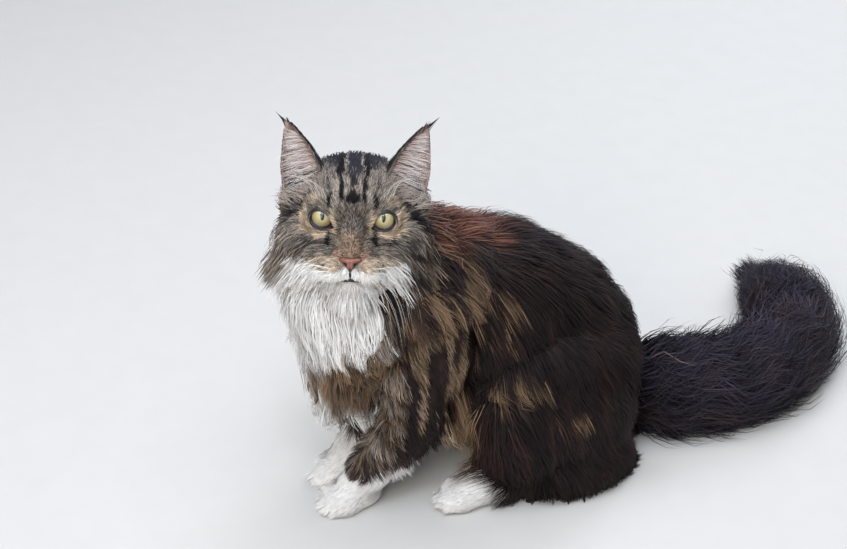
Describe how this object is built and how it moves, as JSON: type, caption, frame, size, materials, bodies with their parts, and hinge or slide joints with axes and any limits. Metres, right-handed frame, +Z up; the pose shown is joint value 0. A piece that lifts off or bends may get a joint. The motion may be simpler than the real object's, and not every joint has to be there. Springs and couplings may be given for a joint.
{
  "type": "maine coon cat",
  "caption": "Life-size still model of a sitting long-haired Maine Coon cat: turned head with tufted ears, deep ruff, shaggy breeches and a long plumed tail laid behind on the floor.",
  "frame": {"origin": "on the floor, at the middle of the flat that the rump rests on", "axes": "+X towards the cat's left, +Y from chest to tail, +Z up"},
  "size_m": [0.2853, 0.6362, 0.3783],
  "materials": {
    "brown_tabby_coat": "long soft fur, very dark brown with tan streaks",
    "ticked_face_coat": "short ticked grey-brown fur with black stripes",
    "white_coat": "soft white fur",
    "black_tail_coat": "long, loose, brown-black fur",
    "nose_leather": "fine damp grain, brick pink with a dark edge",
    "eye": "clear wet gloss over a yellow-green iris with an upright slit pupil"
  },
  "bodies": {
    "root": {"torso": "brown_tabby_coat", "neck": "white_coat", "head": "ticked_face_coat", "nose": "nose_leather", "eye_left": "eye", "eye_right": "eye", "ear_left": "ticked_face_coat", "ear_right": "ticked_face_coat", "foreleg_left": "brown_tabby_coat", "foreleg_right": "brown_tabby_coat", "forepaw_left": "white_coat", "forepaw_right": "white_coat", "thigh_left": "brown_tabby_coat", "thigh_right": "brown_tabby_coat", "hindfoot_left": "white_coat", "hindfoot_right": "white_coat", "tail_root": "black_tail_coat", "tail_middle": "black_tail_coat", "tail_tip": "black_tail_coat"}
  },
  "joints": []
}
